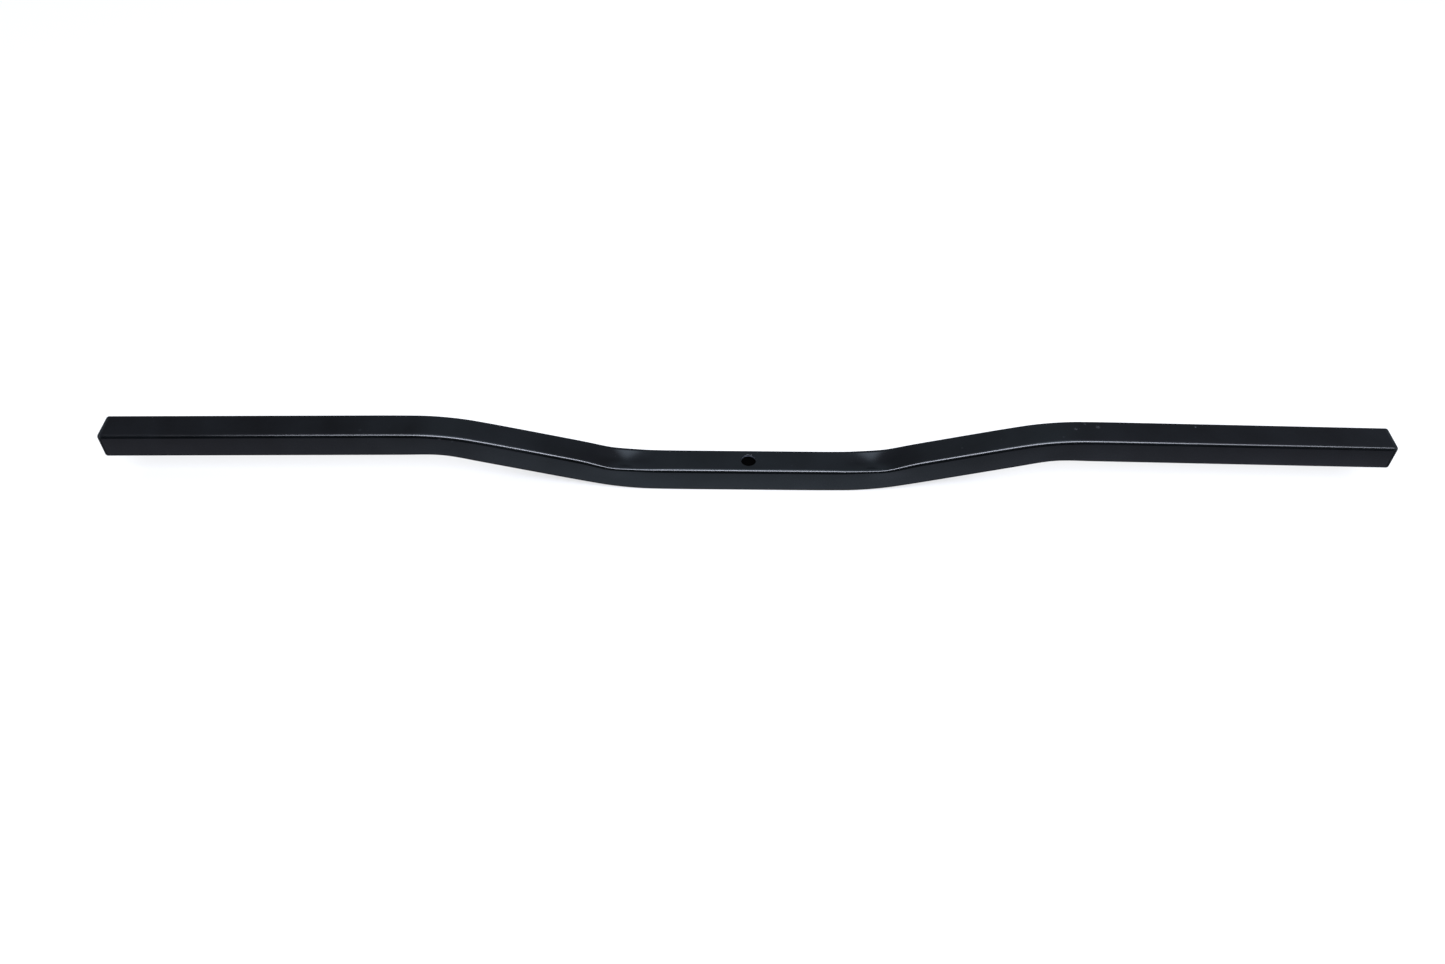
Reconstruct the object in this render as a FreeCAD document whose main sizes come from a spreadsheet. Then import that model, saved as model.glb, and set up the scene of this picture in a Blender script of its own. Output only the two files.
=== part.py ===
import FreeCAD, Part

import math
import os

import Sketcher

# A bed cargo bar: one length of square steel tube, press-bent in four places, that
# spans a cargo bed. Its level middle section has a bolt hole, and each open end is
# closed by a ribbed plastic insert.
#
# Frame: X runs along the bar, Y across it, Z up. The origin is under the bolt hole, on
# the underside of the level middle section, which is what the bar stands on.

FIN_COUNT = 4

DRIVING_SIZES = [
    # alias, millimetres or degrees, meaning
    ("tube_side", 31.75, "outside of the square tube, 1-1/4 in"),
    ("tube_wall", 3.05, "wall of the tube, 11 gauge"),
    ("corner_radius", 4.0, "outside corner of the tube's section"),
    ("overall_length", 1356.0, "along X, over the heads of both end plugs"),
    ("inner_bend_x", 130.0, "from the middle to the corner point of an inner bend"),
    ("outer_bend_x", 320.0, "from the middle to the corner point of an outer bend"),
    ("arm_rise", 50.5, "corner point of an outer bend above the middle's centreline"),
    ("arm_droop", 1.03, "fall of each arm towards its end, degrees"),
    ("bend_radius", 215.0, "centreline radius of all four bends"),
    ("hole_diameter", 15.9, "drilled 5/8 in: clears an M14 or 9/16 in bolt"),
    ("head_thickness", 4.0, "head of an end plug"),
    ("head_rounding", 3.3, "rounding of the head's outer edge"),
    ("shank_length", 22.0, "how far a plug reaches into the tube"),
    ("shank_wall", 2.0, "wall of the plug's hollow shank"),
    ("fin_height", 1.2, "how far the fins stand out from the shank"),
    ("fin_thickness", 1.0, "one fin"),
    ("fin_pitch", 4.5, "from one fin to the next"),
    ("fin_start", 4.0, "from the underside of the head to the first fin"),
    ("fin_play", 0.02, "between a fin and the tube's bore, on each side"),
]

# Sizes worked out from the driving ones. The centreline of the bar's +X half lies in
# the XZ plane: middle, inner bend, slope, outer bend, arm.
DERIVED_SIZES = [
    ("axis_height", "tube_side / 2"),
    ("bore_side", "tube_side - 2 * tube_wall"),
    ("bore_radius", "corner_radius - tube_wall"),
    ("slope_angle", "atan(arm_rise / (outer_bend_x - inner_bend_x)) / 1deg"),
    ("inner_tangent", "bend_radius * tan(slope_angle * 1deg / 2)"),
    ("outer_tangent", "bend_radius * tan((slope_angle + arm_droop) * 1deg / 2)"),
    ("middle_half", "inner_bend_x - inner_tangent"),
    ("corner_gap", "(outer_bend_x - inner_bend_x) / cos(slope_angle * 1deg)"),
    ("slope_length", "corner_gap - inner_tangent - outer_tangent"),
    ("head_reach", "head_thickness * cos(arm_droop * 1deg)"),
    ("head_lean", "axis_height * sin(arm_droop * 1deg)"),
    ("tube_end_x", "overall_length / 2 - head_reach - head_lean"),
    ("arm_fall", "(tube_end_x - outer_bend_x) * tan(arm_droop * 1deg)"),
    ("tube_end_z", "axis_height + arm_rise - arm_fall"),
    ("fin_side", "bore_side - 2 * fin_play"),
    ("shank_side", "fin_side - 2 * fin_height"),
    ("cavity_side", "shank_side - 2 * shank_wall"),
]

doc = FreeCAD.newDocument("BedCargoBar")


def make_sheet():
    """Fill the spreadsheet: one row a size, with its alias, value and meaning."""
    cells = doc.addObject("Spreadsheet::Sheet", "Sizes")
    for row, (alias, value, meaning) in enumerate(DRIVING_SIZES, start=1):
        cells.set(f"A{row}", alias)
        cells.set(f"B{row}", str(value))
        cells.set(f"C{row}", meaning)
        cells.setAlias(f"B{row}", alias)
    for row, (alias, formula) in enumerate(DERIVED_SIZES, start=len(DRIVING_SIZES) + 1):
        cells.set(f"A{row}", alias)
        cells.set(f"B{row}", "=" + formula)
        cells.setAlias(f"B{row}", alias)
        doc.recompute()
    return cells


sheet = make_sheet()


def size(alias):
    """The value of one cell as a plain number."""
    return float(sheet.get(alias))


def new_body(label):
    """A PartDesign body whose Label names its node and its file."""
    body = doc.addObject("PartDesign::Body", label)
    body.Label = label
    return body


def origin_plane(body, role):
    """The body's own XY, XZ or YZ plane."""
    return next(item for item in body.Origin.OriginFeatures if item.Role == role)


def new_sketch(body, name, role):
    """A sketch on one of the body's origin planes."""
    sketch = body.newObject("Sketcher::SketchObject", name)
    sketch.AttachmentSupport = [(origin_plane(body, role), "")]
    sketch.MapMode = "FlatFace"
    return sketch


def bind(sketch, formula, *constraint):
    """Add a constraint whose value follows a formula on the sheet."""
    # The starting value keeps the solver near the geometry as it was drawn.
    index = sketch.addConstraint(Sketcher.Constraint(*constraint))
    sketch.setExpression(f"Constraints[{index}]", formula)


def flat_arc(centre, radius, start_degrees, end_degrees):
    """A circular arc in the sketch plane."""
    circle = Part.Circle(centre, FreeCAD.Vector(0, 0, 1), radius)
    return Part.ArcOfCircle(circle, math.radians(start_degrees), math.radians(end_degrees))


def add_rounded_square(sketch, side_alias, radius_alias, height_alias=None):
    """Draw a square with round corners, centred on the sketch's vertical axis."""
    half = size(side_alias) / 2
    radius = size(radius_alias)
    height = size(height_alias) if height_alias else 0.0
    straight = half - radius
    arcs = []
    for quarter in range(4):
        turn = math.radians(45 + 90 * quarter)
        reach = straight * math.sqrt(2)
        centre = FreeCAD.Vector(reach * math.cos(turn), height + reach * math.sin(turn), 0)
        arcs.append(sketch.addGeometry(flat_arc(centre, radius, 90 * quarter, 90 * quarter + 90)))
    lines = []
    for quarter in range(4):
        start = sketch.getPoint(arcs[quarter], 2)
        end = sketch.getPoint(arcs[(quarter + 1) % 4], 1)
        lines.append(sketch.addGeometry(Part.LineSegment(start, end)))
    for quarter in range(4):
        following = arcs[(quarter + 1) % 4]
        sketch.addConstraint(Sketcher.Constraint("Tangent", arcs[quarter], 2, lines[quarter], 1))
        sketch.addConstraint(Sketcher.Constraint("Tangent", lines[quarter], 2, following, 1))
    for quarter in range(1, 4):
        sketch.addConstraint(Sketcher.Constraint("Equal", arcs[0], arcs[quarter]))
    top, left, bottom, right = lines
    sketch.addConstraint(Sketcher.Constraint("Horizontal", top))
    sketch.addConstraint(Sketcher.Constraint("Vertical", left))
    bind(sketch, f"Sizes.{radius_alias}", "Radius", arcs[0], radius)
    bind(sketch, f"Sizes.{side_alias}", "DistanceY", bottom, 1, top, 1, 2 * half)
    bind(sketch, f"Sizes.{side_alias}", "DistanceX", left, 1, right, 1, 2 * half)
    bind(sketch, f"Sizes.{side_alias} / 2", "DistanceX", -1, 1, right, 1, half)
    lift = f"Sizes.{height_alias} + " if height_alias else ""
    bind(sketch, f"{lift}Sizes.{side_alias} / 2", "DistanceY", -1, 1, top, 1, height + half)


def add_bend_path(sketch):
    """Draw the centreline of the +X half: three straights joined by tangent arcs."""
    radius = size("bend_radius")
    slope = size("slope_angle")
    droop = size("arm_droop")
    start = FreeCAD.Vector(0, size("axis_height"), 0)
    middle_end = start + FreeCAD.Vector(size("middle_half"), 0, 0)
    inner_arc = flat_arc(middle_end + FreeCAD.Vector(0, radius, 0), radius, 270, 270 + slope)
    slope_start = inner_arc.EndPoint
    along = FreeCAD.Vector(math.cos(math.radians(slope)), math.sin(math.radians(slope)), 0)
    slope_end = slope_start + along * size("slope_length")
    outer_centre = slope_end + FreeCAD.Vector(along.y, -along.x, 0) * radius
    outer_arc = flat_arc(outer_centre, radius, 90 - droop, 90 + slope)
    arm_end = FreeCAD.Vector(size("tube_end_x"), size("tube_end_z"), 0)

    middle = sketch.addGeometry(Part.LineSegment(start, middle_end))
    inner = sketch.addGeometry(inner_arc)
    rise = sketch.addGeometry(Part.LineSegment(slope_start, slope_end))
    outer = sketch.addGeometry(outer_arc)
    arm = sketch.addGeometry(Part.LineSegment(outer_arc.StartPoint, arm_end))

    # An arc's first point is its clockwise end, so the outer bend starts at the arm.
    sketch.addConstraint(Sketcher.Constraint("Tangent", middle, 2, inner, 1))
    sketch.addConstraint(Sketcher.Constraint("Tangent", inner, 2, rise, 1))
    sketch.addConstraint(Sketcher.Constraint("Tangent", rise, 2, outer, 2))
    sketch.addConstraint(Sketcher.Constraint("Tangent", outer, 1, arm, 1))
    sketch.addConstraint(Sketcher.Constraint("Horizontal", middle))
    sketch.addConstraint(Sketcher.Constraint("PointOnObject", middle, 1, -2))
    bind(sketch, "Sizes.axis_height", "DistanceY", -1, 1, middle, 1, start.y)
    bind(sketch, "Sizes.middle_half", "DistanceX", middle, 1, middle, 2, middle_end.x)
    bind(sketch, "Sizes.slope_length", "Distance", rise, size("slope_length"))
    bind(sketch, "Sizes.tube_end_x", "DistanceX", -1, 1, arm, 2, arm_end.x)
    bind(sketch, "Sizes.bend_radius", "Radius", inner, radius)
    bind(sketch, "Sizes.bend_radius", "Radius", outer, radius)
    bind(sketch, "Sizes.slope_angle * 1deg", "Angle", rise, math.radians(slope))
    bind(sketch, "-Sizes.arm_droop * 1deg", "Angle", arm, -math.radians(droop))


def sweep_half(body, kind, name, path, side_alias, radius_alias):
    """Sweep a round-cornered square along the path, as solid or as a cut."""
    profile = new_sketch(body, name + "_profile", "YZ_Plane")
    add_rounded_square(profile, side_alias, radius_alias, "axis_height")
    doc.recompute()
    pipe = body.newObject(kind, name)
    pipe.Profile = profile
    pipe.Spine = (path, [])
    pipe.Refine = True
    doc.recompute()
    return pipe


def make_tube():
    """The bent square tube with the bolt hole through both walls of its middle."""
    body = new_body("bar_tube")
    path = new_sketch(body, "centreline", "XZ_Plane")
    add_bend_path(path)
    doc.recompute()
    outside = sweep_half(body, "PartDesign::AdditivePipe", "outside", path, "tube_side", "corner_radius")
    bore = sweep_half(body, "PartDesign::SubtractivePipe", "bore", path, "bore_side", "bore_radius")
    half_volume = body.Shape.Volume

    mirrored = body.newObject("PartDesign::Mirrored", "other_half")
    mirrored.Originals = [outside, bore]
    mirrored.MirrorPlane = (origin_plane(body, "YZ_Plane"), [""])
    mirrored.Refine = True
    body.Tip = mirrored
    doc.recompute()
    expect_close("mirrored tube", body.Shape.Volume, 2 * half_volume)

    circle = new_sketch(body, "hole_circle", "XY_Plane")
    disc = Part.Circle(FreeCAD.Vector(), FreeCAD.Vector(0, 0, 1), size("hole_diameter") / 2)
    rim = circle.addGeometry(disc)
    circle.addConstraint(Sketcher.Constraint("Coincident", rim, 3, -1, 1))
    bind(circle, "Sizes.hole_diameter", "Diameter", rim, size("hole_diameter"))
    doc.recompute()
    whole_volume = body.Shape.Volume
    hole = body.newObject("PartDesign::Pocket", "bolt_hole")
    hole.Profile = circle
    hole.Type = "ThroughAll"
    hole.Reversed = True
    body.Tip = hole
    doc.recompute()
    disc_area = math.pi * (size("hole_diameter") / 2) ** 2
    expect_close("bolt hole", whole_volume - body.Shape.Volume, 2 * disc_area * size("tube_wall"))
    return body


def add_pad(body, name, side_alias, radius_alias, length_formula, inward=False, offset_formula=None):
    """Pad a round-cornered square along the plug's axis."""
    outline = new_sketch(body, name + "_outline", "YZ_Plane")
    add_rounded_square(outline, side_alias, radius_alias)
    if offset_formula:
        outline.setExpression("AttachmentOffset.Base.z", offset_formula)
    doc.recompute()
    pad = body.newObject("PartDesign::Pad", name)
    pad.Profile = outline
    pad.Reversed = inward
    pad.setExpression("Length", length_formula)
    pad.Refine = True
    doc.recompute()
    return pad


def make_plug(label, side):
    """A ribbed insert; its own frame has X out of the tube and its head at X > 0."""
    body = new_body(label)
    head = add_pad(body, "head", "tube_side", "corner_radius", "Sizes.head_thickness")
    rounding = body.newObject("PartDesign::Fillet", "head_edge")
    rounding.Base = (head, [outermost_face(head.Shape)])
    rounding.setExpression("Radius", "Sizes.head_rounding")
    doc.recompute()
    add_pad(body, "shank", "shank_side", "bore_radius", "Sizes.shank_length", inward=True)
    fin = add_pad(body, "fin", "fin_side", "bore_radius", "Sizes.fin_thickness",
                  inward=True, offset_formula="-Sizes.fin_start")
    row = body.newObject("PartDesign::LinearPattern", "fin_row")
    row.Originals = [fin]
    row.Direction = (fin.Profile[0], ["N_Axis"])
    row.Reversed = True
    row.setExpression("Length", f"Sizes.fin_pitch * {FIN_COUNT - 1}")
    row.Occurrences = FIN_COUNT
    body.Tip = row
    doc.recompute()

    solid_volume = body.Shape.Volume
    cavity_outline = new_sketch(body, "cavity_outline", "YZ_Plane")
    add_rounded_square(cavity_outline, "cavity_side", "bore_radius")
    doc.recompute()
    cavity = body.newObject("PartDesign::Pocket", "cavity")
    cavity.Profile = cavity_outline
    cavity.setExpression("Length", "Sizes.shank_length")
    body.Tip = cavity
    doc.recompute()
    opening = size("cavity_side") ** 2 - (4 - math.pi) * size("bore_radius") ** 2
    expect_close("plug cavity", solid_volume - body.Shape.Volume, opening * size("shank_length"))

    turn = "0" if side > 0 else "180"
    body.setExpression(
        "Placement",
        f"placement(vector({side} * Sizes.tube_end_x; 0; Sizes.tube_end_z);"
        f" rotation(vector(0; 1; 0); {side} * Sizes.arm_droop) * rotation(vector(0; 0; 1); {turn}))",
    )
    doc.recompute()
    return body


def outermost_face(shape):
    """The name of the face that lies furthest out along X."""
    faces = range(1, len(shape.Faces) + 1)
    return "Face" + str(max(faces, key=lambda number: shape.Faces[number - 1].CenterOfMass.x))


def expect_close(what, value, expected):
    """Stop if a feature did not add or remove the volume that it should."""
    if abs(value - expected) > 0.01 * abs(expected):
        raise RuntimeError(f"{what}: volume {value:.1f} where {expected:.1f} was expected")


def check_and_export(bodies):
    """Check every object and every sub-part's shape, then write the STEP files."""
    doc.recompute()
    for item in doc.Objects:
        if "Invalid" in item.State or "Error" in item.State:
            raise RuntimeError(f"{item.Label} failed: {item.State}")
    for body in bodies:
        shape = body.Shape
        if shape.isNull() or not shape.isValid() or len(shape.Solids) != 1:
            raise RuntimeError(f"{body.Label} is not one valid solid")
    os.makedirs("parts", exist_ok=True)
    for body in bodies:
        body.Shape.exportStep(f"parts/{body.Label}.step")
        box = body.Shape.optimalBoundingBox(False)
        print(f"{body.Label}: {body.Shape.Volume:.0f} mm3, "
              f"X {box.XMin:.2f}..{box.XMax:.2f}, Y {box.YMin:.2f}..{box.YMax:.2f}, "
              f"Z {box.ZMin:.2f}..{box.ZMax:.2f}")


tube = make_tube()
plugs = [make_plug("end_plug_left", -1), make_plug("end_plug_right", 1)]
check_and_export([tube] + plugs)
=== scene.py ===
"""Visual model of the bed cargo bar: a press-bent square steel tube with a black powder
coat and two moulded end plugs, on a pale floor under soft studio light.

Everything is in metres, in the CAD model's frame: X along the bar, Y across it, Z up,
with the origin under the bolt hole.
"""
import math

import bmesh
import bpy
from mathutils import Matrix, Vector


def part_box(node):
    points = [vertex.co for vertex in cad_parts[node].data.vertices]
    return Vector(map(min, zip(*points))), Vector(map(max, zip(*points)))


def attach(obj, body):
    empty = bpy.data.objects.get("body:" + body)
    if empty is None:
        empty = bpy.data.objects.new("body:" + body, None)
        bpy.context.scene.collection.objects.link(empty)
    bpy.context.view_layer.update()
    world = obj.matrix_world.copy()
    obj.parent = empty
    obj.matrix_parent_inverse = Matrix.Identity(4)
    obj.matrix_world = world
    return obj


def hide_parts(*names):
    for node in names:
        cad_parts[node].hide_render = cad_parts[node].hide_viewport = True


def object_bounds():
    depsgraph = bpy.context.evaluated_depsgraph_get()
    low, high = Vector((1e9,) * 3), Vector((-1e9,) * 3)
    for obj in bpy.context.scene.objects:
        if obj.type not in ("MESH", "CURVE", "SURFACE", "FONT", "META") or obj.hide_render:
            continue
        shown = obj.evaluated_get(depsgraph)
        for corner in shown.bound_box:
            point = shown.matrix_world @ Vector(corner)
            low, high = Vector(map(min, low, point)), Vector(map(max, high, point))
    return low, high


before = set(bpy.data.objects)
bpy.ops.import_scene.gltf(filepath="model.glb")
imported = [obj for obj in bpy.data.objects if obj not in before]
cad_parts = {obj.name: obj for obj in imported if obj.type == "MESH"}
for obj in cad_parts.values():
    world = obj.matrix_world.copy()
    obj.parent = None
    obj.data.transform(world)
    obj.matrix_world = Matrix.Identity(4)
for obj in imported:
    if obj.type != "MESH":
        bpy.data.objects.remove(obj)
cad_low, cad_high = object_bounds()

# ---------------------------------------------------------------- sizes of the bar
MM = 0.001
tube_low, tube_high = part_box("bar_tube")
SIDE = tube_high.y - tube_low.y
HALF = SIDE / 2
WALL = 3.05 * MM
CORNER = 4.0 * MM
# Half the flat part of a side, and how far a side bows in towards its corners.
FLAT = HALF - CORNER
CROWN = 0.08 * MM
INNER_BEND_X = 130 * MM
OUTER_BEND_X = 320 * MM
ARM_RISE = 50.5 * MM
ARM_DROOP = math.radians(1.03)
BEND_RADIUS = 215 * MM
HOLE_RADIUS = 7.95 * MM
HOLE_RIM = 0.45 * MM
HEAD = 4.0 * MM

SLOPE = math.atan(ARM_RISE / (OUTER_BEND_X - INNER_BEND_X))
INNER_TANGENT = BEND_RADIUS * math.tan(SLOPE / 2)
OUTER_TANGENT = BEND_RADIUS * math.tan((SLOPE + ARM_DROOP) / 2)
END_SHIFT = HEAD * math.cos(ARM_DROOP) + HALF * math.sin(ARM_DROOP)
TUBE_END_X = (cad_high.x - cad_low.x) / 2 - END_SHIFT

# Lengths along the centreline of the five stretches of the +X half.
MIDDLE_LENGTH = INNER_BEND_X - INNER_TANGENT
INNER_ARC = BEND_RADIUS * SLOPE
SLOPE_LENGTH = (OUTER_BEND_X - INNER_BEND_X) / math.cos(SLOPE) - INNER_TANGENT - OUTER_TANGENT
OUTER_ARC = BEND_RADIUS * (SLOPE + ARM_DROOP)
ARM_START_X = OUTER_BEND_X + OUTER_TANGENT * math.cos(ARM_DROOP)
ARM_LENGTH = (TUBE_END_X - ARM_START_X) / math.cos(ARM_DROOP)
INNER_MID = MIDDLE_LENGTH + INNER_ARC / 2
OUTER_MID = MIDDLE_LENGTH + INNER_ARC + SLOPE_LENGTH + OUTER_ARC / 2
HALF_LENGTH = OUTER_MID + OUTER_ARC / 2 + ARM_LENGTH

# What the press does to the walls at a bend. The wall on the inside of the bend is pushed
# in, its corners less than its middle, and the sides bulge next to it. The pinch makes
# those corners sharper: it is added to the power of 2 that a round corner has. The wall on
# the outside of the bend is drawn in a little over a longer stretch. Shifts are along the
# bar, outward from the middle of the bend, and reaches are the spreads of smooth bumps.
# Inside is 1 where the wall on the inside of the bend is the top one, and -1 where it is
# the bottom one.
INNER_PRESS = dict(
    vertex=INNER_MID,
    inside=1,
    corner_dip=1.9 * MM,
    corner_shift=22 * MM,
    wall_dent=4.1 * MM,
    wall_shift=4 * MM,
    bulge=0.5 * MM,
    pinch=1.5,
)
OUTER_PRESS = dict(
    vertex=OUTER_MID,
    inside=-1,
    corner_dip=1.2 * MM,
    corner_shift=0.0,
    wall_dent=2.4 * MM,
    wall_shift=0.0,
    bulge=0.15 * MM,
    pinch=0.0,
)
CORNER_REACH = 15 * MM
WALL_REACH = 15 * MM
PINCH_REACH = 20 * MM
DRAWN_IN = 0.8 * MM
DRAWN_REACH = 26 * MM


# ---------------------------------------------------------------- the bar's centreline
def centreline(along):
    """Point (x, z) and climb angle at a distance along the +X half's centreline."""
    x, z, climb = 0.0, HALF, 0.0
    stretches = (
        (MIDDLE_LENGTH, 0.0),
        (INNER_ARC, 1.0),
        (SLOPE_LENGTH, 0.0),
        (OUTER_ARC, -1.0),
        (ARM_LENGTH, 0.0),
    )
    for length, bend in stretches:
        step = min(along, length)
        if bend:
            turned = climb + bend * step / BEND_RADIUS
            x += bend * BEND_RADIUS * (math.sin(turned) - math.sin(climb))
            z -= bend * BEND_RADIUS * (math.cos(turned) - math.cos(climb))
            climb = turned
        else:
            x += step * math.cos(climb)
            z += step * math.sin(climb)
        along -= step
        if along <= 0:
            break
    return x, z, climb


def bell(distance, reach):
    """A smooth bump, one at no distance."""
    return math.exp(-0.5 * (distance / reach) ** 2)


def smooth(share):
    """Eases from 0 to 1."""
    share = min(1.0, max(0.0, share))
    return share * share * (3 - 2 * share)


def pinched(across, up, power):
    """A corner of the section made sharper: a power of 2 leaves it round."""
    out_x = abs(across) - FLAT
    out_z = abs(up) - FLAT
    if power <= 2 or min(out_x, out_z) <= 0:
        return across, up
    radius = math.hypot(out_x, out_z)
    grown = ((out_x / radius) ** power + (out_z / radius) ** power) ** (-1 / power)
    return (
        math.copysign(FLAT + out_x * grown, across),
        math.copysign(FLAT + out_z * grown, up),
    )


def pressed(along, across, up):
    """Where the press leaves a point of the section, as (across, up)."""
    for press in (INNER_PRESS, OUTER_PRESS):
        inside = press["inside"]
        height = up * inside / HALF
        away = abs(along) - press["vertex"]
        if height > 0:
            sharper = press["pinch"] * bell(away - press["wall_shift"], PINCH_REACH)
            across, up = pinched(across, up, 2 + sharper)
        corner = bell(away - press["corner_shift"], CORNER_REACH) * smooth(height + 0.1)
        wall = bell(away - press["wall_shift"], WALL_REACH) * smooth((height - 0.6) / 0.3)
        sag = 1 - min(1.0, abs(across) / FLAT) ** 1.5
        outside = bell(away, DRAWN_REACH) * smooth((-height - 0.2) / 0.6)
        up -= inside * press["corner_dip"] * corner
        up -= inside * press["wall_dent"] * wall * sag
        up += inside * DRAWN_IN * outside
        across += math.copysign(press["bulge"], across) * corner * smooth(abs(across) / FLAT)
    return across, up


def on_bar(along, across, up):
    """A point given along, across and above the centreline, in the row frame."""
    across, up = pressed(along, across, up)
    x, z, climb = centreline(abs(along))
    side = 1 if along >= 0 else -1
    return Vector((side * (x - up * math.sin(climb)), across, z + up * math.cos(climb)))


# ---------------------------------------------------------------- sections and stations
# Where the vertices of a flat lie, as shares of FLAT; the next corner begins at 1.
RIGHT_OF_MIDDLE = (0.18, 0.36, 0.53, 0.7, 0.85, 0.97)
FLAT_STEPS = (-1.0, *(-step for step in reversed(RIGHT_OF_MIDDLE)), 0.0, *RIGHT_OF_MIDDLE)
CORNER_STEPS = 10


def corner_arc(straight, radius, steps):
    """Points from the right side's top end towards the top side, without the last one."""
    points = []
    for step in range(steps):
        angle = math.radians(90 * step / steps)
        across = straight + radius * math.cos(angle)
        points.append((across, straight + radius * math.sin(angle)))
    return points


def four_sides(side):
    """A closed outline: the right side's points, turned by quarters about the middle."""
    points = []
    for quarter in range(4):
        turn = math.radians(90 * quarter)
        for x, y in side:
            across = x * math.cos(turn) - y * math.sin(turn)
            points.append((across, x * math.sin(turn) + y * math.cos(turn)))
    return points


def section(inset):
    """The tube's section as (across, up) points, counter-clockwise from its right side.

    Each flat bows in a little towards its corners, as on cold-formed tube.
    """
    half = HALF - inset
    flat = [(half - CROWN * step ** 2, FLAT * step) for step in FLAT_STEPS]
    return four_sides(flat + corner_arc(FLAT, CORNER - inset - CROWN, CORNER_STEPS))


# The outline's first vertex on its right side is 0; these are the first on top and below.
SIDE_STEPS = len(FLAT_STEPS) + CORNER_STEPS
TOP_WALL = SIDE_STEPS
BOTTOM_WALL = 3 * SIDE_STEPS

# The tube's finishes, in the order of its materials.
COATED, SCALED_SHADED, DRILLED = range(3)
# The broken edges of the cut ends, and the slack in comparing places along the bar.
EDGE_BREAK = 0.35 * MM
SLACK = 1e-9


def spread(start, end, gap):
    """Even stations from start up to, but without, end."""
    count = max(1, round((end - start) / gap))
    return [start + (end - start) * step / count for step in range(count)]


def stations():
    """Distances along the centreline, closer together at the bends and the hole."""
    # Further than this from a bend its walls are plain. The corners of an inner bend dip
    # further out, so its close stations go on for longer.
    near = 2.2 * WALL_REACH + 20 * MM
    inner_start = INNER_MID - near
    inner_end = INNER_MID + near + 18 * MM
    outer_start = OUTER_MID - near
    outer_end = OUTER_MID + near
    last = HALF_LENGTH - 2 * MM
    half = [FLAT * step for step in FLAT_STEPS if step >= 0] + [FLAT]
    half += spread(FLAT + 3 * MM, inner_start, 12 * MM)
    half += spread(inner_start, inner_end, 2 * MM)
    half += spread(inner_end, outer_start, 8 * MM)
    half += spread(outer_start, outer_end, 2 * MM)
    half += spread(outer_end, last, 16 * MM)
    half.append(last)
    return [-place for place in reversed(half[1:])] + half


# ---------------------------------------------------------------- mesh helpers
def new_piece(name, mesh_maker, materials, node):
    """A piece made by mesh code, that rides on the root body and stands for a CAD node."""
    made = bmesh.new()
    mesh_maker(made)
    bmesh.ops.recalc_face_normals(made, faces=made.faces)
    mesh = bpy.data.meshes.new(name)
    made.to_mesh(mesh)
    made.free()
    for polygon in mesh.polygons:
        polygon.use_smooth = True
    piece = bpy.data.objects.new(name, mesh)
    bpy.context.scene.collection.objects.link(piece)
    for material in materials:
        mesh.materials.append(material)
    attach(piece, "root")
    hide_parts(node)
    return piece


def join_rings(made, first, second, finish=COATED):
    """Quads between two closed rings of as many vertices, in one of the piece's finishes."""
    count = len(first)
    for step in range(count):
        after = (step + 1) % count
        face = made.faces.new((first[step], first[after], second[after], second[step]))
        face.material_index = finish


def close_ring(made, ring):
    """Triangles from a closed ring of vertices to its middle."""
    middle = made.verts.new(sum((vert.co for vert in ring), Vector()) / len(ring))
    for first, second in zip(ring, ring[1:] + ring[:1]):
        made.faces.new((middle, first, second))


def make_tube(made):
    """Outer skin, bore skin, both cut ends and the two rims of the bolt hole."""
    places = stations()
    skins = {}
    for finish, inset in ((COATED, 0.0), (SCALED_SHADED, WALL)):
        outline = section(inset)
        grid = []
        for place in places:
            grid.append([made.verts.new(on_bar(place, *point)) for point in outline])
        skins[inset] = grid
        skin_tube(made, places, grid, finish)
    for wall in (TOP_WALL, BOTTOM_WALL):
        make_hole(made, places, skins, wall)
    close_end(made, skins, 0, -HALF_LENGTH)
    close_end(made, skins, -1, HALF_LENGTH)


def skin_tube(made, places, grid, finish):
    """One skin's faces, without the squares round the bolt hole in the top and bottom."""
    open_columns = set()
    for wall in (TOP_WALL, BOTTOM_WALL):
        open_columns.update(range(wall, wall + len(FLAT_STEPS)))
    for place, row, next_row in zip(places, grid, grid[1:]):
        at_hole = -FLAT - SLACK <= place < FLAT - SLACK
        for column in range(len(row)):
            if at_hole and column in open_columns:
                continue
            after = (column + 1) % len(row)
            corners = (row[column], row[after], next_row[after], next_row[column])
            made.faces.new(corners).material_index = finish


def close_end(made, skins, row, along):
    """The square-cut end of the tube, with its edges broken by a small radius."""
    side = 1 if along > 0 else -1
    turns = [math.radians(angle) for angle in (0, 30, 60, 90)]

    def edge_ring(turn, inset):
        place = along - side * EDGE_BREAK * (1 - math.sin(turn))
        return [made.verts.new(on_bar(place, *point)) for point in section(inset)]

    rings = [skins[0.0][row]]
    for turn in turns:
        rings.append(edge_ring(turn, EDGE_BREAK * (1 - math.cos(turn))))
    for turn in reversed(turns):
        rings.append(edge_ring(turn, WALL - EDGE_BREAK * (1 - math.cos(turn))))
    rings.append(skins[WALL][row])
    for first, second in zip(rings, rings[1:]):
        join_rings(made, first, second)


def square_border(grid, places, wall):
    """The vertices round the square left open in one wall, in order of angle."""
    rows = [row for row, place in enumerate(places) if abs(place) <= FLAT + SLACK]
    columns = range(wall, wall + len(FLAT_STEPS) + 1)
    found = set()
    for row in rows:
        for column in columns:
            if row in (rows[0], rows[-1]) or column in (columns[0], columns[-1]):
                found.add(grid[row][column])
    return sorted(found, key=lambda vert: math.atan2(vert.co.y, vert.co.x))


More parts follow.
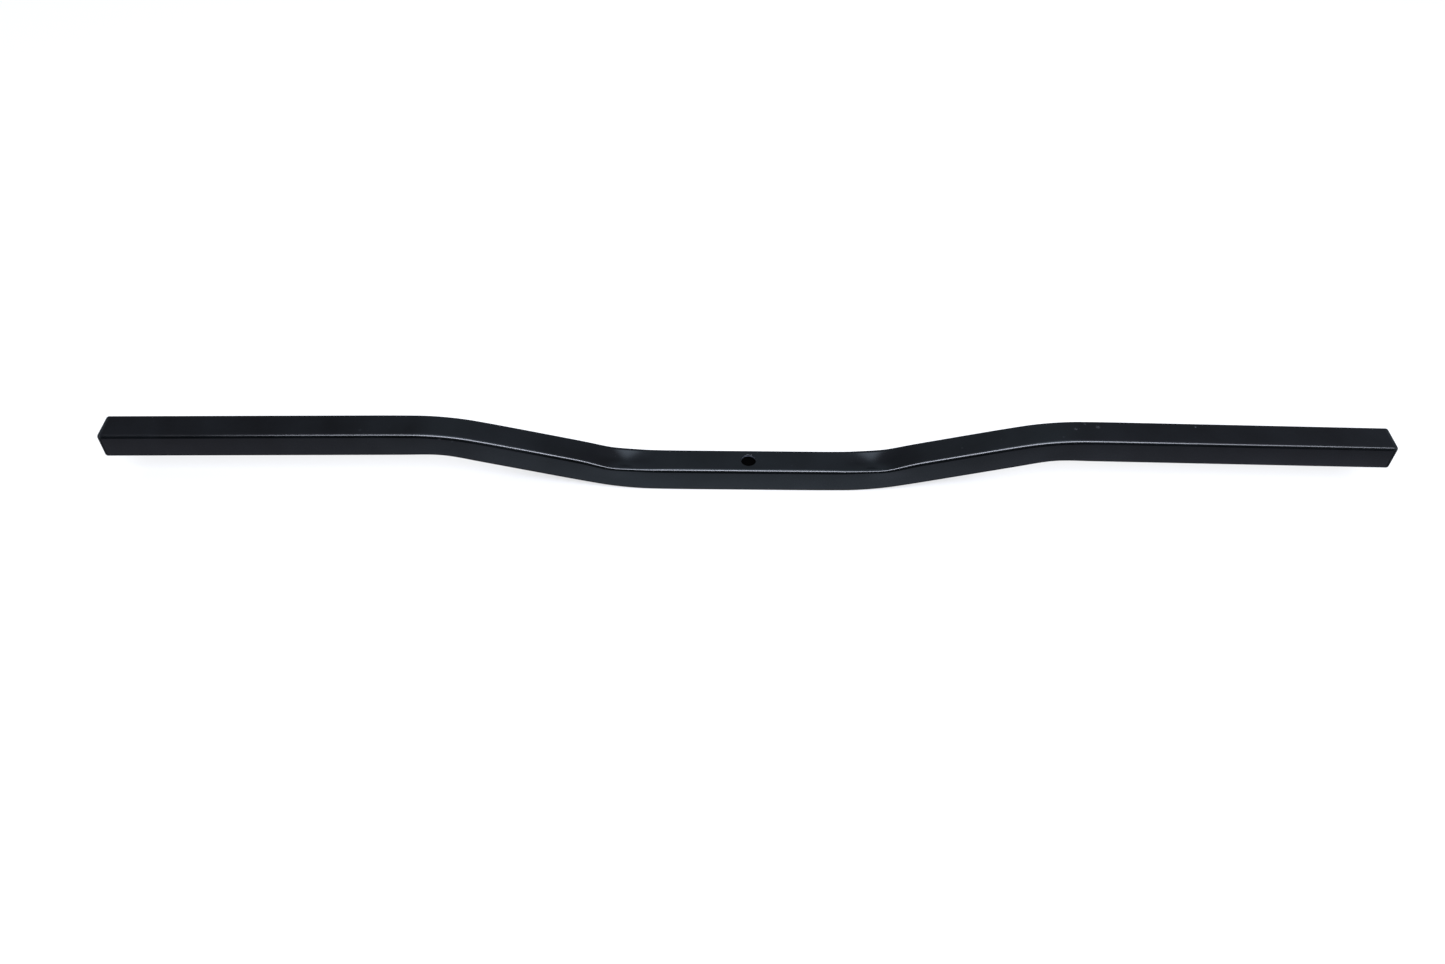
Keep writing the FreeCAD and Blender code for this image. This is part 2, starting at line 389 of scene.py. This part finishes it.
def make_hole(made, places, skins, wall):
    """Fill both skins round the bolt hole and join them through the wall."""
    outer = square_border(skins[0.0], places, wall)
    inner = square_border(skins[WALL], places, wall)
    angles = [math.atan2(vert.co.y, vert.co.x) for vert in outer]
    outer_z = SIDE if wall == TOP_WALL else 0.0
    depth = -1 if wall == TOP_WALL else 1
    inner_z = outer_z + depth * WALL

    def on_circle(radius, angle, height):
        y = radius * math.sin(angle)
        sunk = depth * CROWN * (y / FLAT) ** 2
        return Vector((radius * math.cos(angle), y, height + sunk))

    def rounded_rim(turn, face_z, inward):
        radius = HOLE_RADIUS + HOLE_RIM * (1 - math.sin(turn))
        height = face_z + inward * HOLE_RIM * (1 - math.cos(turn))
        return [made.verts.new(on_circle(radius, angle, height)) for angle in angles]

    def fill(border, height):
        rings = [border]
        for share in (0.2, 0.4, 0.6, 0.8, 0.93, 1.0):
            ring = []
            for vert, angle in zip(border, angles):
                rim = on_circle(HOLE_RADIUS + HOLE_RIM, angle, height)
                ring.append(made.verts.new(vert.co.lerp(rim, share)))
            rings.append(ring)
        return rings

    turns = [math.radians(angle) for angle in (22.5, 45, 67.5, 90)]
    skin = fill(outer, outer_z)
    rim = [rounded_rim(turn, outer_z, depth) for turn in turns]
    far_rim = [rounded_rim(turn, inner_z, -depth) for turn in reversed(turns)]
    rings = skin + rim + far_rim
    coat_end = len(skin + rim) - 1
    drilled_end = len(rings)
    rings += reversed(fill(inner, inner_z))
    for step, (first, second) in enumerate(zip(rings, rings[1:])):
        if step < coat_end:
            finish = COATED
        elif step < drilled_end:
            finish = DRILLED
        else:
            finish = SCALED_SHADED
        join_rings(made, first, second, finish)


# ---------------------------------------------------------------- end plugs
BORE_HALF = HALF - WALL
FIN_HALF = BORE_HALF - 0.02 * MM
SHANK_HALF = FIN_HALF - 1.2 * MM
CAVITY_HALF = SHANK_HALF - 2.0 * MM
SHANK_LENGTH = 22 * MM
FIN_START = 4 * MM
FIN_PITCH = 4.5 * MM
FIN_THICKNESS = 1.0 * MM
FIN_COUNT = 4
HEAD_ROUNDING = 3.3 * MM
HEAD_CROWN = 0.45 * MM
HEAD_FACE = HEAD - HEAD_CROWN
SMALL_CORNER = CORNER - WALL
MOULD_EDGE = 0.2 * MM

# A gate mark: a small round dimple with the broken-off sprue in its middle. Each pair is
# (radius, how far it lies below the head's middle), in millimetres.
GATE_MARK = ((0.35, 0.12), (0.5, 0.12), (0.6, 0.28), (1.7, 0.28), (2.0, 0.0), (2.6, 0.0))


def plug_profile():
    """The plug from the middle of its head to the floor of its hollow, as rings.

    Each ring is (distance out of the tube, half width, corner radius).
    """
    return head_rings() + shank_rings() + hollow_rings()


def head_rings():
    """The head: its gate mark, its crowned face, its rounding and its underside."""
    rings = []
    for radius, sink in GATE_MARK:
        rings.append((HEAD - sink * MM, radius * MM, radius * MM))
    for share in (0.35, 0.5, 0.65, 0.8, 0.9):
        half = (HALF - HEAD_ROUNDING) * share
        corner = half * (0.25 + 0.75 * (1 - share))
        rings.append((HEAD - HEAD_CROWN * share ** 2.2, half, corner))
    for turn in range(0, 91, 15):
        angle = math.radians(turn)
        inset = HEAD_ROUNDING * (1 - math.sin(angle))
        out = HEAD_FACE - HEAD_ROUNDING * (1 - math.cos(angle))
        rings.append((out, HALF - inset, CORNER - inset))
    bevel = 0.3 * MOULD_EDGE
    rings.append((MOULD_EDGE, HALF, CORNER))
    rings.append((bevel, HALF - bevel, CORNER - bevel))
    rings.append((0.0, HALF - MOULD_EDGE, CORNER - MOULD_EDGE))
    return rings


def shank_rings():
    """The shank, whose fins have a small fillet at the root and broken edges."""
    rings = [
        (0.0, SHANK_HALF + 0.3 * MM, SMALL_CORNER),
        (-0.3 * MM, SHANK_HALF, SMALL_CORNER),
    ]
    for fin in range(FIN_COUNT):
        outer = -FIN_START - fin * FIN_PITCH
        inner = outer - FIN_THICKNESS
        rings += [
            (outer + 0.2 * MM, SHANK_HALF, SMALL_CORNER),
            (outer, SHANK_HALF + 0.2 * MM, SMALL_CORNER),
            (outer - 0.1 * MM, FIN_HALF - 0.15 * MM, SMALL_CORNER),
            (outer - 0.25 * MM, FIN_HALF, SMALL_CORNER),
            (inner + 0.1 * MM, FIN_HALF, SMALL_CORNER),
            (inner, FIN_HALF - 0.1 * MM, SMALL_CORNER),
            (inner - 0.1 * MM, SHANK_HALF + 0.1 * MM, SMALL_CORNER),
            (inner - 0.3 * MM, SHANK_HALF, SMALL_CORNER),
        ]
    rings.append((-SHANK_LENGTH + MOULD_EDGE, SHANK_HALF, SMALL_CORNER))
    rings.append((-SHANK_LENGTH, SHANK_HALF - MOULD_EDGE, SMALL_CORNER))
    return rings


def hollow_rings():
    """The shank's hollow, from its mouth to near the middle of its floor."""
    rings = [
        (-SHANK_LENGTH, CAVITY_HALF + MOULD_EDGE, SMALL_CORNER),
        (-SHANK_LENGTH + MOULD_EDGE, CAVITY_HALF, SMALL_CORNER),
        (-MOULD_EDGE, CAVITY_HALF, SMALL_CORNER),
        (0.0, CAVITY_HALF - MOULD_EDGE, SMALL_CORNER),
    ]
    for share in (0.5, 0.1):
        rings.append((0.0, CAVITY_HALF * share, SMALL_CORNER * share))
    return rings


def plug_ring(half, radius):
    """A round-cornered square as (across, up) points."""
    straight = half - radius
    side = [(half, straight * step) for step in (-1, -0.9, -0.6, -0.3, 0, 0.3, 0.6, 0.9)]
    return four_sides(side + corner_arc(straight, radius, 8))


def plug_maker(side):
    """Mesh code for the plug at one end: side is 1 at +X and -1 at -X."""
    end_x, end_z, climb = centreline(HALF_LENGTH)
    tilt = Matrix.Rotation(-climb, 4, "Y")
    mirror = Matrix.Diagonal((side, 1, 1, 1))
    place = mirror @ Matrix.Translation((end_x, 0, end_z)) @ tilt

    def make(made):
        rings = []
        for out, half, radius in plug_profile():
            points = plug_ring(half, radius)
            rings.append([made.verts.new(place @ Vector((out, *point))) for point in points])
        for first, second in zip(rings, rings[1:]):
            join_rings(made, first, second)
        close_ring(made, rings[0])
        close_ring(made, rings[-1])

    return make


# ---------------------------------------------------------------- materials
class Nodes:
    """A short way to add and join shader nodes."""

    def __init__(self, tree):
        self.tree = tree
        tree.nodes.clear()

    def add(self, kind, **settings):
        """A node; a setting is one of its properties or else the value of an input."""
        node = self.tree.nodes.new(kind)
        for name, value in settings.items():
            if hasattr(node, name):
                setattr(node, name, value)
            else:
                node.inputs[name.replace("_", " ")].default_value = value
        return node

    def join(self, out_node, out_name, in_node, in_name):
        """Link an output to an input, each given by its name or its number."""
        self.tree.links.new(out_node.outputs[out_name], in_node.inputs[in_name])

    def noise(self, scale, detail=2.0, roughness=0.5):
        """Noise in the piece's own coordinates; scale is in cycles a metre."""
        where = self.add("ShaderNodeTexCoord")
        node = self.add("ShaderNodeTexNoise")
        node.inputs["Scale"].default_value = scale
        node.inputs["Detail"].default_value = detail
        node.inputs["Roughness"].default_value = roughness
        self.join(where, "Object", node, "Vector")
        return node

    def ramp(self, source, output, low, high, low_color, high_color):
        """Two colours, or two levels, blended between two values of the source."""
        node = self.add("ShaderNodeValToRGB")
        node.color_ramp.elements[0].position = low
        node.color_ramp.elements[0].color = low_color
        node.color_ramp.elements[1].position = high
        node.color_ramp.elements[1].color = high_color
        self.join(source, output, node, "Fac")
        return node

    def bump(self, source, strength, distance):
        """A bump of a noise; distance is in metres."""
        node = self.add("ShaderNodeBump", Strength=strength, Distance=distance)
        self.join(source, "Fac", node, "Height")
        return node


def level(value):
    """A grey as a colour."""
    return (value, value, value, 1.0)


def new_material(name):
    """A material with a Principled shader on its output: (material, nodes, shader)."""
    material = bpy.data.materials.new(name)
    material.use_nodes = True
    nodes = Nodes(material.node_tree)
    shader = nodes.add("ShaderNodeBsdfPrincipled")
    out = nodes.add("ShaderNodeOutputMaterial")
    nodes.join(shader, "BSDF", out, "Surface")
    return material, nodes, shader


# Rubbed spots on the coat: (x, y, z, radius, strength), in millimetres.
SCUFFS = (
    (342, 3, 82, 2.6, 0.55),
    (353, 10, 82, 1.8, 0.7),
    (366, 6, 82, 3.2, 0.5),
    (327, -8, 81, 1.6, 0.45),
    (470, 9, 79, 1.9, 0.6),
    (-405, -8, 80, 1.8, 0.5),
    (-322, -15, 76, 2.4, 0.3),
    (-309, -15, 73, 2.2, 0.3),
)


def scuffs(nodes):
    """Where the coat is rubbed, 0 to 1: a few placed spots with broken outlines."""
    where = nodes.add("ShaderNodeTexCoord")
    ragged = nodes.noise(900.0, detail=3.0)
    total = None
    for x, y, z, radius, strength in SCUFFS:
        away = nodes.add("ShaderNodeVectorMath", operation="DISTANCE")
        nodes.join(where, "Object", away, 0)
        away.inputs[1].default_value = Vector((x, y, z)) * MM
        spot = nodes.add("ShaderNodeMapRange", interpolation_type="SMOOTHSTEP")
        spot.inputs["From Min"].default_value = radius * MM
        spot.inputs["From Max"].default_value = 0.2 * radius * MM
        spot.inputs["To Max"].default_value = strength
        nodes.join(away, "Value", spot, "Value")
        if total is None:
            total = spot
            continue
        larger = nodes.add("ShaderNodeMath", operation="MAXIMUM")
        nodes.join(total, 0, larger, 0)
        nodes.join(spot, "Result", larger, 1)
        total = larger
    broken = nodes.ramp(ragged, "Fac", 0.42, 0.58, level(0.0), level(1.0))
    shown = nodes.add("ShaderNodeMath", operation="MULTIPLY")
    nodes.join(total, 0, shown, 0)
    nodes.join(broken, "Color", shown, 1)
    return shown


def powder_coat():
    """Semi-gloss black powder coat with a fine orange peel and a few rubbed specks."""
    material, nodes, shader = new_material("black_powder_coat")

    mottle = nodes.noise(22.0, detail=4.0)
    darkest = (0.0003, 0.0005, 0.0006, 1)
    lightest = (0.0017, 0.0022, 0.0027, 1)
    tint = nodes.ramp(mottle, "Fac", 0.3, 0.7, darkest, lightest)

    specks = nodes.noise(420.0, detail=1.0)
    rubbed = nodes.ramp(specks, "Fac", 0.80, 0.84, level(0.0), level(1.0))
    mix = nodes.add("ShaderNodeMix", data_type="RGBA")
    mix.inputs["B"].default_value = (0.018, 0.019, 0.022, 1)
    nodes.join(rubbed, "Color", mix, "Factor")
    nodes.join(tint, "Color", mix, "A")
    marked = nodes.add("ShaderNodeMix", data_type="RGBA")
    marked.inputs["B"].default_value = (0.050, 0.053, 0.059, 1)
    nodes.join(scuffs(nodes), "Value", marked, "Factor")
    nodes.join(mix, "Result", marked, "A")
    nodes.join(marked, "Result", shader, "Base Color")

    patches = nodes.noise(35.0, detail=3.0)
    gloss = nodes.ramp(patches, "Fac", 0.3, 0.7, level(0.19), level(0.23))
    nodes.join(gloss, "Color", shader, "Roughness")

    peel = nodes.bump(nodes.noise(480.0, detail=2.0), strength=0.025, distance=0.04 * MM)
    wave = nodes.bump(nodes.noise(60.0, detail=1.0), strength=0.15, distance=0.1 * MM)
    nodes.join(wave, "Normal", peel, "Normal")
    nodes.join(peel, "Normal", shader, "Normal")
    return material


def scale_and_painted_shade():
    """The uncoated inside of the tube: dull scale on bare steel, darkened nearly to black as painted
    shade for the dark inside of the tube.
    """
    material, nodes, shader = new_material("scale_and_painted_shade")
    shader.inputs["Specular IOR Level"].default_value = 0.04
    cloud = nodes.noise(120.0, detail=4.0)
    # Painted shade: both tints lie far below the colour of scale, so that the bore shows black.
    bluish = (0.0006, 0.0006, 0.0007, 1)
    brownish = (0.0014, 0.0013, 0.0012, 1)
    tint = nodes.ramp(cloud, "Fac", 0.35, 0.7, bluish, brownish)
    nodes.join(tint, "Color", shader, "Base Color")
    gloss = nodes.ramp(cloud, "Fac", 0.35, 0.7, level(0.62), level(0.8))
    nodes.join(gloss, "Color", shader, "Roughness")
    bump = nodes.bump(cloud, strength=0.4, distance=0.1 * MM)
    nodes.join(bump, "Normal", shader, "Normal")
    return material


def thin_coat_and_painted_highlight():
    """The wall of the bolt hole, where the coat is thin and the steel greys it; its colour is also
    made lighter and bluish as a painted highlight, so that the far wall of the hole shows a bright
    crescent.
    """
    material, nodes, shader = new_material("thin_coat_and_painted_highlight")
    streaks = nodes.noise(700.0, detail=3.0)
    # Painted highlight: both colours are lighter and bluer than thin coat on steel, standing in for
    # the light on the hole's far wall.
    coat_and_highlight = (0.030, 0.033, 0.042, 1)
    steel_and_highlight = (0.048, 0.052, 0.064, 1)
    tint = nodes.ramp(streaks, "Fac", 0.35, 0.65, coat_and_highlight, steel_and_highlight)
    nodes.join(tint, "Color", shader, "Base Color")
    gloss = nodes.ramp(streaks, "Fac", 0.35, 0.65, level(0.38), level(0.5))
    nodes.join(gloss, "Color", shader, "Roughness")
    bump = nodes.bump(streaks, strength=0.4, distance=0.06 * MM)
    nodes.join(bump, "Normal", shader, "Normal")
    return material


def moulded_plastic():
    """Matte black plastic with a spark-eroded grain."""
    material, nodes, shader = new_material("moulded_plastic")
    shader.inputs["Specular IOR Level"].default_value = 0.4
    cloud = nodes.noise(90.0, detail=3.0)
    darkest = (0.0020, 0.0021, 0.0023, 1)
    lightest = (0.0032, 0.0033, 0.0036, 1)
    tint = nodes.ramp(cloud, "Fac", 0.3, 0.7, darkest, lightest)
    nodes.join(tint, "Color", shader, "Base Color")
    gloss = nodes.ramp(cloud, "Fac", 0.3, 0.7, level(0.42), level(0.52))
    nodes.join(gloss, "Color", shader, "Roughness")
    grain = nodes.bump(nodes.noise(2600.0, detail=2.0), strength=0.5, distance=0.03 * MM)
    nodes.join(grain, "Normal", shader, "Normal")
    return material


# ---------------------------------------------------------------- studio
FLOOR_REACH = 30.0
FLOOR_GLOW = 0.68
BACKDROP_LEVEL = 0.93


def make_floor():
    """A plain pale floor under the bar, which glows a little so that it comes out white."""
    material, nodes, shader = new_material("pale_floor")
    shader.inputs["Roughness"].default_value = 0.9
    shader.inputs["Base Color"].default_value = level(0.2)
    shader.inputs["Specular IOR Level"].default_value = 0.0
    shader.inputs["Emission Color"].default_value = level(1.0)
    shader.inputs["Emission Strength"].default_value = FLOOR_GLOW
    mesh = bpy.data.meshes.new("floor")
    corners = [(x * FLOOR_REACH, y * FLOOR_REACH, 0) for x, y in ((-1, -1), (1, -1), (1, 1), (-1, 1))]
    mesh.from_pydata(corners, [], [(0, 1, 2, 3)])
    floor = bpy.data.objects.new("floor", mesh)
    bpy.context.scene.collection.objects.link(floor)
    mesh.materials.append(material)
    floor.visible_glossy = False


def blue_grey(value):
    """A slightly blue grey, as the light in the room is."""
    return (0.84 * value, value, 1.22 * value, 1.0)


def color_stops(nodes, source, output, colors):
    """A ramp with a colour at each (position, colour)."""
    first, *between, last = colors
    node = nodes.ramp(source, output, first[0], last[0], first[1], last[1])
    for position, color in between:
        node.color_ramp.elements.new(position).color = color
    return node


def grey_stops(nodes, source, output, levels):
    """A ramp with a blue grey at each (position, value)."""
    colors = [(position, blue_grey(value)) for position, value in levels]
    return color_stops(nodes, source, output, colors)


def span(nodes, axes, axis, low, high):
    """One axis of the direction, from low to high, as 0 to 1."""
    node = nodes.add("ShaderNodeMapRange")
    node.inputs["From Min"].default_value = low
    node.inputs["From Max"].default_value = high
    nodes.join(axes, axis, node, "Value")
    return node


def tilted(nodes, axes, axis, gain, added_to):
    """A share of one axis of the direction, added to another value."""
    node = nodes.add("ShaderNodeMath", operation="MULTIPLY_ADD")
    nodes.join(axes, axis, node, 0)
    node.inputs[1].default_value = gain
    nodes.join(added_to, 0, node, 2)
    return node


def mix_colors(nodes, first, first_output, second, factor):
    """The first colour, or the second one, a ramp's, where the factor is 1."""
    node = nodes.add("ShaderNodeMix", data_type="RGBA")
    nodes.join(factor, "Result", node, "Factor")
    nodes.join(first, first_output, node, "A")
    nodes.join(second, "Color", node, "B")
    return node


def multiply_colors(nodes, mixed, ramp):
    """A mixed colour times a ramp's colour."""
    node = nodes.add("ShaderNodeMix", data_type="RGBA", blend_type="MULTIPLY")
    node.inputs["Factor"].default_value = 1.0
    nodes.join(mixed, "Result", node, "A")
    nodes.join(ramp, "Color", node, "B")
    return node


# The room's grey levels by the height of the direction: 0 is straight down, 0.5 level
# and 1 straight up. In front a pale floor lies under a dark stretch and a pale ceiling.
FRONT_LEVELS = (
    (0.0, 0.15),
    (0.06, 0.22),
    (0.09, 0.70),
    (0.12, 0.68),
    (0.133, 0.48),
    (0.15, 0.46),
    (0.162, 0.03),
    (0.76, 0.03),
    (0.88, 0.30),
    (0.95, 0.90),
    (1.0, 2.60),
)
BACK_LEVELS = (
    (0.25, 0.12),
    (0.36, 0.25),
    (0.40, 0.12),
    (0.50, 0.15),
    (0.57, 0.17),
    (0.65, 0.20),
    (0.80, 0.26),
    (0.96, 0.42),
    (1.0, 0.70),
)
END_WALL_LEVELS = ((0.20, 0.03), (0.29, 0.50), (0.90, 0.35))
# What is in front lies higher towards both sides, a little less so on the right.
FRONT_BOW = -0.095
FRONT_TILT = 0.025
# The room is lightest straight ahead, at 0.5, and darker to the left and to the right.
SIDE_SHADES = (
    (0.34, (0.57, 0.49, 0.49, 1)),
    (0.47, level(1.0)),
    (0.53, level(1.0)),
    (0.66, (0.70, 0.62, 0.63, 1)),
    (0.70, (0.66, 0.57, 0.58, 1)),
    (0.725, (0.86, 0.76, 0.78, 1)),
)


def make_world():
    """Soft surroundings, as seen in the coat: a grey room, dark low down on all sides, a
    pale floor, and lighter walls to the left and right."""
    world = bpy.data.worlds.new("studio")
    world.use_nodes = True
    nodes = Nodes(world.node_tree)
    where = nodes.add("ShaderNodeTexCoord")
    axes = nodes.add("ShaderNodeSeparateXYZ")
    nodes.join(where, "Generated", axes, "Vector")
    height = span(nodes, axes, "Z", -1.0, 1.0)
    across = span(nodes, axes, "X", -1.0, 1.0)
    backward = span(nodes, axes, "Y", -0.25, 0.25)
    sideways = nodes.add("ShaderNodeMath", operation="ABSOLUTE")
    nodes.join(axes, "X", sideways, 0)

    bowed = tilted(nodes, sideways, "Value", FRONT_BOW, height)
    lowered = tilted(nodes, axes, "X", FRONT_TILT, bowed)
    front = grey_stops(nodes, lowered, "Value", FRONT_LEVELS)
    back = grey_stops(nodes, height, "Result", BACK_LEVELS)
    room = mix_colors(nodes, front, "Color", back, backward)
    shades = color_stops(nodes, across, "Result", SIDE_SHADES)
    shaded = multiply_colors(nodes, room, shades)

    # The walls at the two ends of the bar.
    walls = grey_stops(nodes, height, "Result", END_WALL_LEVELS)
    at_end = span(nodes, sideways, "Value", 0.53, 0.62)
    all_round = mix_colors(nodes, shaded, "Result", walls, at_end)

    # The camera sees a plain pale backdrop instead.
    surround = nodes.add("ShaderNodeBackground")
    nodes.join(all_round, "Result", surround, "Color")
    seen = nodes.add("ShaderNodeBackground")
    seen.inputs["Color"].default_value = level(BACKDROP_LEVEL)
    path = nodes.add("ShaderNodeLightPath")
    choose = nodes.add("ShaderNodeMixShader")
    nodes.join(path, "Is Camera Ray", choose, 0)
    nodes.join(surround, "Background", choose, 1)
    nodes.join(seen, "Background", choose, 2)
    out = nodes.add("ShaderNodeOutputWorld")
    nodes.join(choose, "Shader", out, "Surface")
    bpy.context.scene.world = world


# The strip box's panels, as (name, start, end, share of the radiance). The light's
# elevation is that of the strip, as seen from the bar, on the viewer's side.
STRIP_PANELS = (
    ("left", -1.06, -0.67, 0.6),
    ("middle", -0.67, 1.02, 1.0),
    ("right", 1.02, 1.60, 0.55),
)
STRIP_DISTANCE = 1.6
STRIP_ELEVATION = math.radians(56)
STRIP_HEIGHT = 0.45
STRIP_RADIANCE = 20.0
STRIP_COLOR = (0.88, 0.93, 1.08)
FILL_STRENGTH = 3.0
FILL_SPREAD = math.radians(60)


def area_light(name, place, target, size_x, size_y, watts):
    """A soft rectangular light that faces a target."""
    lamp = bpy.data.lights.new(name, "AREA")
    lamp.shape = "RECTANGLE"
    lamp.size = size_x
    lamp.size_y = size_y
    lamp.energy = watts
    light = bpy.data.objects.new(name, lamp)
    light.location = place
    light.rotation_euler = (Vector(target) - Vector(place)).to_track_quat("-Z", "Y").to_euler()
    light.visible_camera = False
    bpy.context.scene.collection.objects.link(light)
    return light


def make_lights():
    """A long strip box over the viewer, weaker towards its ends, and an overhead fill."""
    away = -STRIP_DISTANCE * math.cos(STRIP_ELEVATION)
    up = STRIP_DISTANCE * math.sin(STRIP_ELEVATION)
    for name, start, end, share in STRIP_PANELS:
        middle = (start + end) / 2
        width = end - start
        watts = share * STRIP_RADIANCE * math.pi * width * STRIP_HEIGHT
        place = (middle, away, up)
        strip = area_light("strip_" + name, place, (middle, 0, 0), width, STRIP_HEIGHT, watts)
        strip.data.color = STRIP_COLOR
    fill = bpy.data.lights.new("overhead_fill", "SUN")
    fill.energy = FILL_STRENGTH
    fill.angle = FILL_SPREAD
    overhead = bpy.data.objects.new("overhead_fill", fill)
    overhead.visible_glossy = False
    bpy.context.scene.collection.objects.link(overhead)


# The camera's focal length and place, and its turns about X, Y and Z in degrees.
CAMERA_LENS = 31.142
CAMERA_SHIFT = -0.1
CAMERA_PLACE = (-0.0376, -0.9155, 1.0170)
CAMERA_TURNS = (48.494, -0.667, 0.109)


def make_camera():
    """The camera, at the height and distance that give the reference view."""
    data = bpy.data.cameras.new("camera")
    data.lens = CAMERA_LENS
    data.shift_y = CAMERA_SHIFT
    camera = bpy.data.objects.new("camera", data)
    camera.location = CAMERA_PLACE
    camera.rotation_euler = [math.radians(angle) for angle in CAMERA_TURNS]
    bpy.context.scene.collection.objects.link(camera)
    bpy.context.scene.camera = camera


# ---------------------------------------------------------------- the scene
plastic = moulded_plastic()
tube_finishes = (powder_coat(), scale_and_painted_shade(), thin_coat_and_painted_highlight())
new_piece("tube", make_tube, tube_finishes, "bar_tube")
new_piece("plug_left", plug_maker(-1), (plastic,), "end_plug_left")
new_piece("plug_right", plug_maker(1), (plastic,), "end_plug_right")
make_floor()
make_world()
make_lights()
make_camera()
bpy.context.scene.view_settings.view_transform = "Standard"
